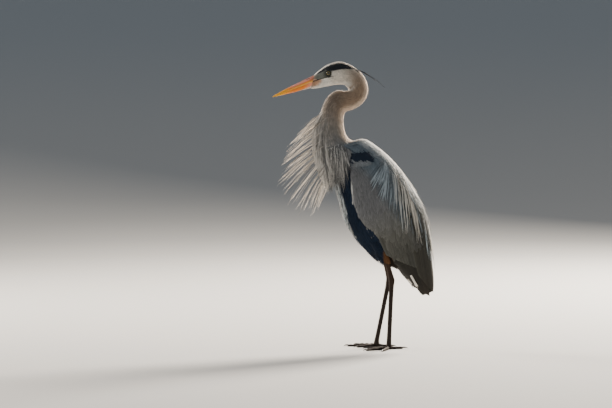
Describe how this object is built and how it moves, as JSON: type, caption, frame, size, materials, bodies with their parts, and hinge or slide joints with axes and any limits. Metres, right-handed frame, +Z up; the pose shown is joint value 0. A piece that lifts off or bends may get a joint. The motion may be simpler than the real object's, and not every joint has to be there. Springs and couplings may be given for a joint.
{
  "type": "great blue heron figure",
  "caption": "Life-size standing great blue heron with its neck drawn back in an S, wings folded and long plumes blown forward from the lower neck.",
  "frame": {"origin": "middle of the bounding box's bottom, on the plane of the soles", "axes": "+Z up, -X the way the bird faces, -Y its left side"},
  "size_m": [0.4688, 0.2114, 0.831],
  "materials": {
    "bill": "smooth horn, yellow at the tip and orange towards the face",
    "head": "short dense feathers, white below a black stripe",
    "eye": "wet and glossy",
    "black": "narrow loose plumes",
    "neck": "short soft feathers, grey with a rosy cast",
    "plume": "long narrow pale plumes with loose ends",
    "trunk": "black and blue-black feathers",
    "mantle": "soft blue-grey feathers and pale plumes",
    "wing": "overlapping blue-grey feathers",
    "flight": "long stiff slate-black feathers",
    "thigh": "short rust-brown feathers",
    "leg": "dry scaled skin",
    "claw": "worn horn"
  },
  "bodies": {
    "root": {"head": "head", "neck_nape": "neck", "neck_bend": "neck", "neck_crook": "neck", "neck_lower": "neck", "breast": "trunk", "belly": "trunk", "rump": "trunk", "bill_upper": "bill", "bill_lower": "bill", "breast_plumes": "plume", "mantle": "mantle", "tail": "flight", "eye_left": "eye", "nape_plume_left": "black", "wing_left_shoulder": "wing", "wing_left_coverts": "wing", "wing_left_flight": "flight", "thigh_left": "thigh", "shank_left": "leg", "tarsus_left": "leg", "foot_left_pad": "leg", "toe_left_inner": "leg", "claw_left_inner": "claw", "toe_left_middle": "leg", "claw_left_middle": "claw", "toe_left_outer": "leg", "claw_left_outer": "claw", "toe_left_hind": "leg", "claw_left_hind": "claw", "eye_right": "eye", "nape_plume_right": "black", "wing_right_shoulder": "wing", "wing_right_coverts": "wing", "wing_right_flight": "flight", "thigh_right": "thigh", "shank_right": "leg", "tarsus_right": "leg", "foot_right_pad": "leg", "toe_right_inner": "leg", "claw_right_inner": "claw", "toe_right_middle": "leg", "claw_right_middle": "claw", "toe_right_outer": "leg", "claw_right_outer": "claw", "toe_right_hind": "leg", "claw_right_hind": "claw"}
  },
  "joints": []
}
